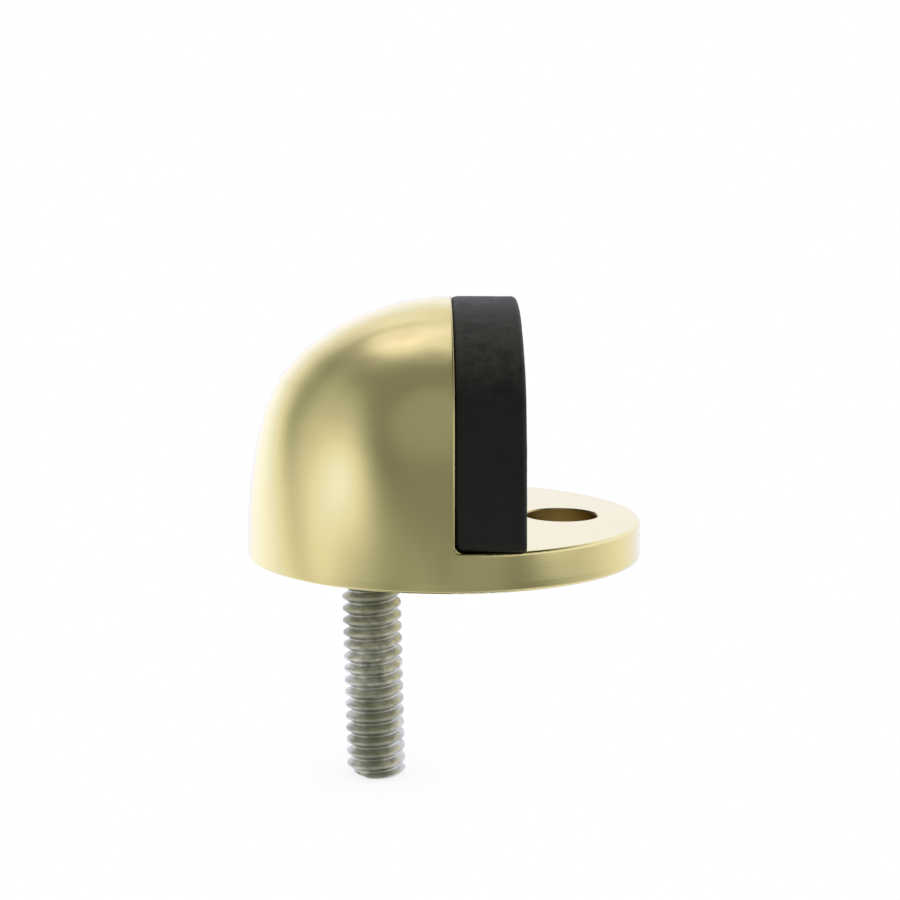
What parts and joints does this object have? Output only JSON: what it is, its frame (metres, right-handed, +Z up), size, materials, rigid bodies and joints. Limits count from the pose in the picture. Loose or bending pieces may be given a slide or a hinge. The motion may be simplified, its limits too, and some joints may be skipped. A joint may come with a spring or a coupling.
{
  "type": "floor door stop",
  "caption": "Half-moon floor door stop: brass hood on a round foot, rubber pad on its flat face, threaded stud below and a plain hole through the foot",
  "frame": {"origin": "centre of the round base, on the plane of the floor", "axes": "+Z up, away from the floor; +X towards the door that strikes the rubber pad; +Y across the pad; the threaded stud points along -Z"},
  "size_m": [0.04, 0.04, 0.0496],
  "materials": {
    "polished_brass": "satin polished yellow brass",
    "black_rubber": "matt moulded black rubber",
    "washer_steel": "zinc plated steel",
    "screw_steel": "zinc plated steel",
    "zinc_steel": "dull zinc plated steel"
  },
  "bodies": {
    "root": {"dome_body": "polished_brass", "rubber_buffer": "black_rubber", "buffer_washer": "washer_steel", "buffer_screw": "screw_steel", "mounting_stud": "zinc_steel"}
  },
  "joints": []
}
